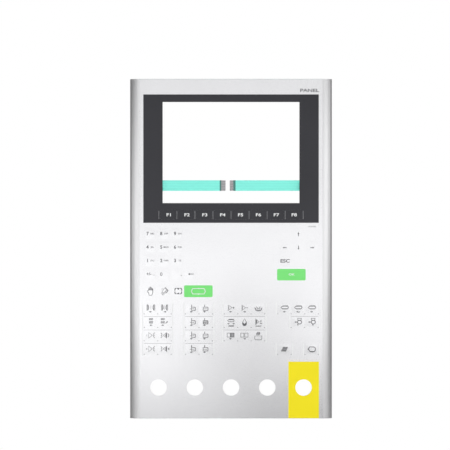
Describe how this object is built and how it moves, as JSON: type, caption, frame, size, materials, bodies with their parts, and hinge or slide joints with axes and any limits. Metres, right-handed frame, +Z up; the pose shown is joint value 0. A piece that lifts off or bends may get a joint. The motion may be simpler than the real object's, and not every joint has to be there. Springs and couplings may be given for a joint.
{
  "type": "operator terminal front panel",
  "caption": "Upright aluminium front panel with a membrane keypad: open display window, sprung snap keys in groups, two flat tails and a row of holes for push buttons.",
  "frame": {"origin": "centre of the front plate's flat rear face", "axes": "+X to the operator's right, +Y out of the rear face away from the operator, +Z up the panel"},
  "size_m": [0.315, 0.0255, 0.529],
  "materials": {
    "satin_aluminium": "satin",
    "silver_film": "fine matt silver print",
    "black_film": "fine matt",
    "green_film": "fine matt",
    "yellow_film": "fine matt",
    "dark_ink": "printed",
    "white_ink": "printed",
    "circuit_film": "lacquered",
    "clear_film": "clear",
    "adhesive": "matt",
    "stiffener": "matt",
    "contact_carbon": "printed carbon",
    "light_body": "clear"
  },
  "bodies": {
    "root": {"front_plate": "satin_aluminium", "graphic_overlay": "silver_film", "overlay_spacer": "adhesive", "dome_layer": "clear_film", "upper_circuit": "circuit_film", "circuit_spacer": "adhesive", "lower_circuit": "circuit_film", "rear_adhesive": "adhesive", "left_tail": "circuit_film", "right_tail": "circuit_film", "left_tail_stiffener": "stiffener", "right_tail_stiffener": "stiffener", "power_led": "light_body"},
    "key_f1": {"key_f1": "black_film"},
    "key_f2": {"key_f2": "black_film"},
    "key_f3": {"key_f3": "black_film"},
    "key_f4": {"key_f4": "black_film"},
    "key_f5": {"key_f5": "black_film"},
    "key_f6": {"key_f6": "black_film"},
    "key_f7": {"key_f7": "black_film"},
    "key_f8": {"key_f8": "black_film"},
    "key_7": {"key_7": "silver_film"},
    "key_8": {"key_8": "silver_film"},
    "key_9": {"key_9": "silver_film"},
    "key_4": {"key_4": "silver_film"},
    "key_5": {"key_5": "silver_film"},
    "key_6": {"key_6": "silver_film"},
    "key_1": {"key_1": "silver_film"},
    "key_2": {"key_2": "silver_film"},
    "key_3": {"key_3": "silver_film"},
    "key_sign": {"key_sign": "silver_film"},
    "key_0": {"key_0": "silver_film"},
    "key_point": {"key_point": "silver_film"},
    "key_delete": {"key_delete": "silver_film"},
    "key_up": {"key_up": "silver_film"},
    "key_left": {"key_left": "silver_film"},
    "key_down": {"key_down": "silver_film"},
    "key_right": {"key_right": "silver_film"},
    "key_escape": {"key_escape": "silver_film"},
    "key_confirm": {"key_confirm": "green_film"},
    "key_manual": {"key_manual": "silver_film"},
    "key_setup": {"key_setup": "silver_film"},
    "key_automatic": {"key_automatic": "silver_film"},
    "key_start": {"key_start": "green_film"},
    "mould_pair": {"mould_pair": "silver_film"},
    "plate_pair": {"plate_pair": "silver_film"},
    "nozzle_pair_upper": {"nozzle_pair_upper": "silver_film"},
    "nozzle_pair_lower": {"nozzle_pair_lower": "silver_film"},
    "core_pair_1": {"core_pair_1": "silver_film"},
    "core_pair_2": {"core_pair_2": "silver_film"},
    "core_pair_3": {"core_pair_3": "silver_film"},
    "core_pair_4": {"core_pair_4": "silver_film"},
    "heating_trio": {"heating_trio": "silver_film"},
    "screw_trio": {"screw_trio": "silver_film"},
    "part_trio": {"part_trio": "silver_film"},
    "barrel_trio": {"barrel_trio": "silver_film"},
    "carriage_pair": {"carriage_pair": "silver_film"},
    "key_lubrication": {"key_lubrication": "silver_film"},
    "key_barrel": {"key_barrel": "silver_film"}
  },
  "joints": [
    {"name": "key_f1_press", "type": "slide", "parent": "root", "child": "key_f1", "axis": [0, 1, 0], "range_m": [0, 0.0004], "stiffness_N_per_m": 6000},
    {"name": "key_f2_press", "type": "slide", "parent": "root", "child": "key_f2", "axis": [0, 1, 0], "range_m": [0, 0.0004], "stiffness_N_per_m": 6000},
    {"name": "key_f3_press", "type": "slide", "parent": "root", "child": "key_f3", "axis": [0, 1, 0], "range_m": [0, 0.0004], "stiffness_N_per_m": 6000},
    {"name": "key_f4_press", "type": "slide", "parent": "root", "child": "key_f4", "axis": [0, 1, 0], "range_m": [0, 0.0004], "stiffness_N_per_m": 6000},
    {"name": "key_f5_press", "type": "slide", "parent": "root", "child": "key_f5", "axis": [0, 1, 0], "range_m": [0, 0.0004], "stiffness_N_per_m": 6000},
    {"name": "key_f6_press", "type": "slide", "parent": "root", "child": "key_f6", "axis": [0, 1, 0], "range_m": [0, 0.0004], "stiffness_N_per_m": 6000},
    {"name": "key_f7_press", "type": "slide", "parent": "root", "child": "key_f7", "axis": [0, 1, 0], "range_m": [0, 0.0004], "stiffness_N_per_m": 6000},
    {"name": "key_f8_press", "type": "slide", "parent": "root", "child": "key_f8", "axis": [0, 1, 0], "range_m": [0, 0.0004], "stiffness_N_per_m": 6000},
    {"name": "key_7_press", "type": "slide", "parent": "root", "child": "key_7", "axis": [0, 1, 0], "range_m": [0, 0.0004], "stiffness_N_per_m": 6000},
    {"name": "key_8_press", "type": "slide", "parent": "root", "child": "key_8", "axis": [0, 1, 0], "range_m": [0, 0.0004], "stiffness_N_per_m": 6000},
    {"name": "key_9_press", "type": "slide", "parent": "root", "child": "key_9", "axis": [0, 1, 0], "range_m": [0, 0.0004], "stiffness_N_per_m": 6000},
    {"name": "key_4_press", "type": "slide", "parent": "root", "child": "key_4", "axis": [0, 1, 0], "range_m": [0, 0.0004], "stiffness_N_per_m": 6000},
    {"name": "key_5_press", "type": "slide", "parent": "root", "child": "key_5", "axis": [0, 1, 0], "range_m": [0, 0.0004], "stiffness_N_per_m": 6000},
    {"name": "key_6_press", "type": "slide", "parent": "root", "child": "key_6", "axis": [0, 1, 0], "range_m": [0, 0.0004], "stiffness_N_per_m": 6000},
    {"name": "key_1_press", "type": "slide", "parent": "root", "child": "key_1", "axis": [0, 1, 0], "range_m": [0, 0.0004], "stiffness_N_per_m": 6000},
    {"name": "key_2_press", "type": "slide", "parent": "root", "child": "key_2", "axis": [0, 1, 0], "range_m": [0, 0.0004], "stiffness_N_per_m": 6000},
    {"name": "key_3_press", "type": "slide", "parent": "root", "child": "key_3", "axis": [0, 1, 0], "range_m": [0, 0.0004], "stiffness_N_per_m": 6000},
    {"name": "key_sign_press", "type": "slide", "parent": "root", "child": "key_sign", "axis": [0, 1, 0], "range_m": [0, 0.0004], "stiffness_N_per_m": 6000},
    {"name": "key_0_press", "type": "slide", "parent": "root", "child": "key_0", "axis": [0, 1, 0], "range_m": [0, 0.0004], "stiffness_N_per_m": 6000},
    {"name": "key_point_press", "type": "slide", "parent": "root", "child": "key_point", "axis": [0, 1, 0], "range_m": [0, 0.0004], "stiffness_N_per_m": 6000},
    {"name": "key_delete_press", "type": "slide", "parent": "root", "child": "key_delete", "axis": [0, 1, 0], "range_m": [0, 0.0004], "stiffness_N_per_m": 6000},
    {"name": "key_up_press", "type": "slide", "parent": "root", "child": "key_up", "axis": [0, 1, 0], "range_m": [0, 0.0004], "stiffness_N_per_m": 6000},
    {"name": "key_left_press", "type": "slide", "parent": "root", "child": "key_left", "axis": [0, 1, 0], "range_m": [0, 0.0004], "stiffness_N_per_m": 6000},
    {"name": "key_down_press", "type": "slide", "parent": "root", "child": "key_down", "axis": [0, 1, 0], "range_m": [0, 0.0004], "stiffness_N_per_m": 6000},
    {"name": "key_right_press", "type": "slide", "parent": "root", "child": "key_right", "axis": [0, 1, 0], "range_m": [0, 0.0004], "stiffness_N_per_m": 6000},
    {"name": "key_escape_press", "type": "slide", "parent": "root", "child": "key_escape", "axis": [0, 1, 0], "range_m": [0, 0.0004], "stiffness_N_per_m": 6000},
    {"name": "key_confirm_press", "type": "slide", "parent": "root", "child": "key_confirm", "axis": [0, 1, 0], "range_m": [0, 0.0004], "stiffness_N_per_m": 6000},
    {"name": "key_manual_press", "type": "slide", "parent": "root", "child": "key_manual", "axis": [0, 1, 0], "range_m": [0, 0.0004], "stiffness_N_per_m": 6000},
    {"name": "key_setup_press", "type": "slide", "parent": "root", "child": "key_setup", "axis": [0, 1, 0], "range_m": [0, 0.0004], "stiffness_N_per_m": 6000},
    {"name": "key_automatic_press", "type": "slide", "parent": "root", "child": "key_automatic", "axis": [0, 1, 0], "range_m": [0, 0.0004], "stiffness_N_per_m": 6000},
    {"name": "key_start_press", "type": "slide", "parent": "root", "child": "key_start", "axis": [0, 1, 0], "range_m": [0, 0.0004], "stiffness_N_per_m": 6000},
    {"name": "mould_pair_press", "type": "slide", "parent": "root", "child": "mould_pair", "axis": [0, 1, 0], "range_m": [0, 0.0004], "stiffness_N_per_m": 6000},
    {"name": "plate_pair_press", "type": "slide", "parent": "root", "child": "plate_pair", "axis": [0, 1, 0], "range_m": [0, 0.0004], "stiffness_N_per_m": 6000},
    {"name": "nozzle_pair_upper_press", "type": "slide", "parent": "root", "child": "nozzle_pair_upper", "axis": [0, 1, 0], "range_m": [0, 0.0004], "stiffness_N_per_m": 6000},
    {"name": "nozzle_pair_lower_press", "type": "slide", "parent": "root", "child": "nozzle_pair_lower", "axis": [0, 1, 0], "range_m": [0, 0.0004], "stiffness_N_per_m": 6000},
    {"name": "core_pair_1_press", "type": "slide", "parent": "root", "child": "core_pair_1", "axis": [0, 1, 0], "range_m": [0, 0.0004], "stiffness_N_per_m": 6000},
    {"name": "core_pair_2_press", "type": "slide", "parent": "root", "child": "core_pair_2", "axis": [0, 1, 0], "range_m": [0, 0.0004], "stiffness_N_per_m": 6000},
    {"name": "core_pair_3_press", "type": "slide", "parent": "root", "child": "core_pair_3", "axis": [0, 1, 0], "range_m": [0, 0.0004], "stiffness_N_per_m": 6000},
    {"name": "core_pair_4_press", "type": "slide", "parent": "root", "child": "core_pair_4", "axis": [0, 1, 0], "range_m": [0, 0.0004], "stiffness_N_per_m": 6000},
    {"name": "heating_trio_press", "type": "slide", "parent": "root", "child": "heating_trio", "axis": [0, 1, 0], "range_m": [0, 0.0004], "stiffness_N_per_m": 6000},
    {"name": "screw_trio_press", "type": "slide", "parent": "root", "child": "screw_trio", "axis": [0, 1, 0], "range_m": [0, 0.0004], "stiffness_N_per_m": 6000},
    {"name": "part_trio_press", "type": "slide", "parent": "root", "child": "part_trio", "axis": [0, 1, 0], "range_m": [0, 0.0004], "stiffness_N_per_m": 6000},
    {"name": "barrel_trio_press", "type": "slide", "parent": "root", "child": "barrel_trio", "axis": [0, 1, 0], "range_m": [0, 0.0004], "stiffness_N_per_m": 6000},
    {"name": "carriage_pair_press", "type": "slide", "parent": "root", "child": "carriage_pair", "axis": [0, 1, 0], "range_m": [0, 0.0004], "stiffness_N_per_m": 6000},
    {"name": "key_lubrication_press", "type": "slide", "parent": "root", "child": "key_lubrication", "axis": [0, 1, 0], "range_m": [0, 0.0004], "stiffness_N_per_m": 6000},
    {"name": "key_barrel_press", "type": "slide", "parent": "root", "child": "key_barrel", "axis": [0, 1, 0], "range_m": [0, 0.0004], "stiffness_N_per_m": 6000}
  ]
}
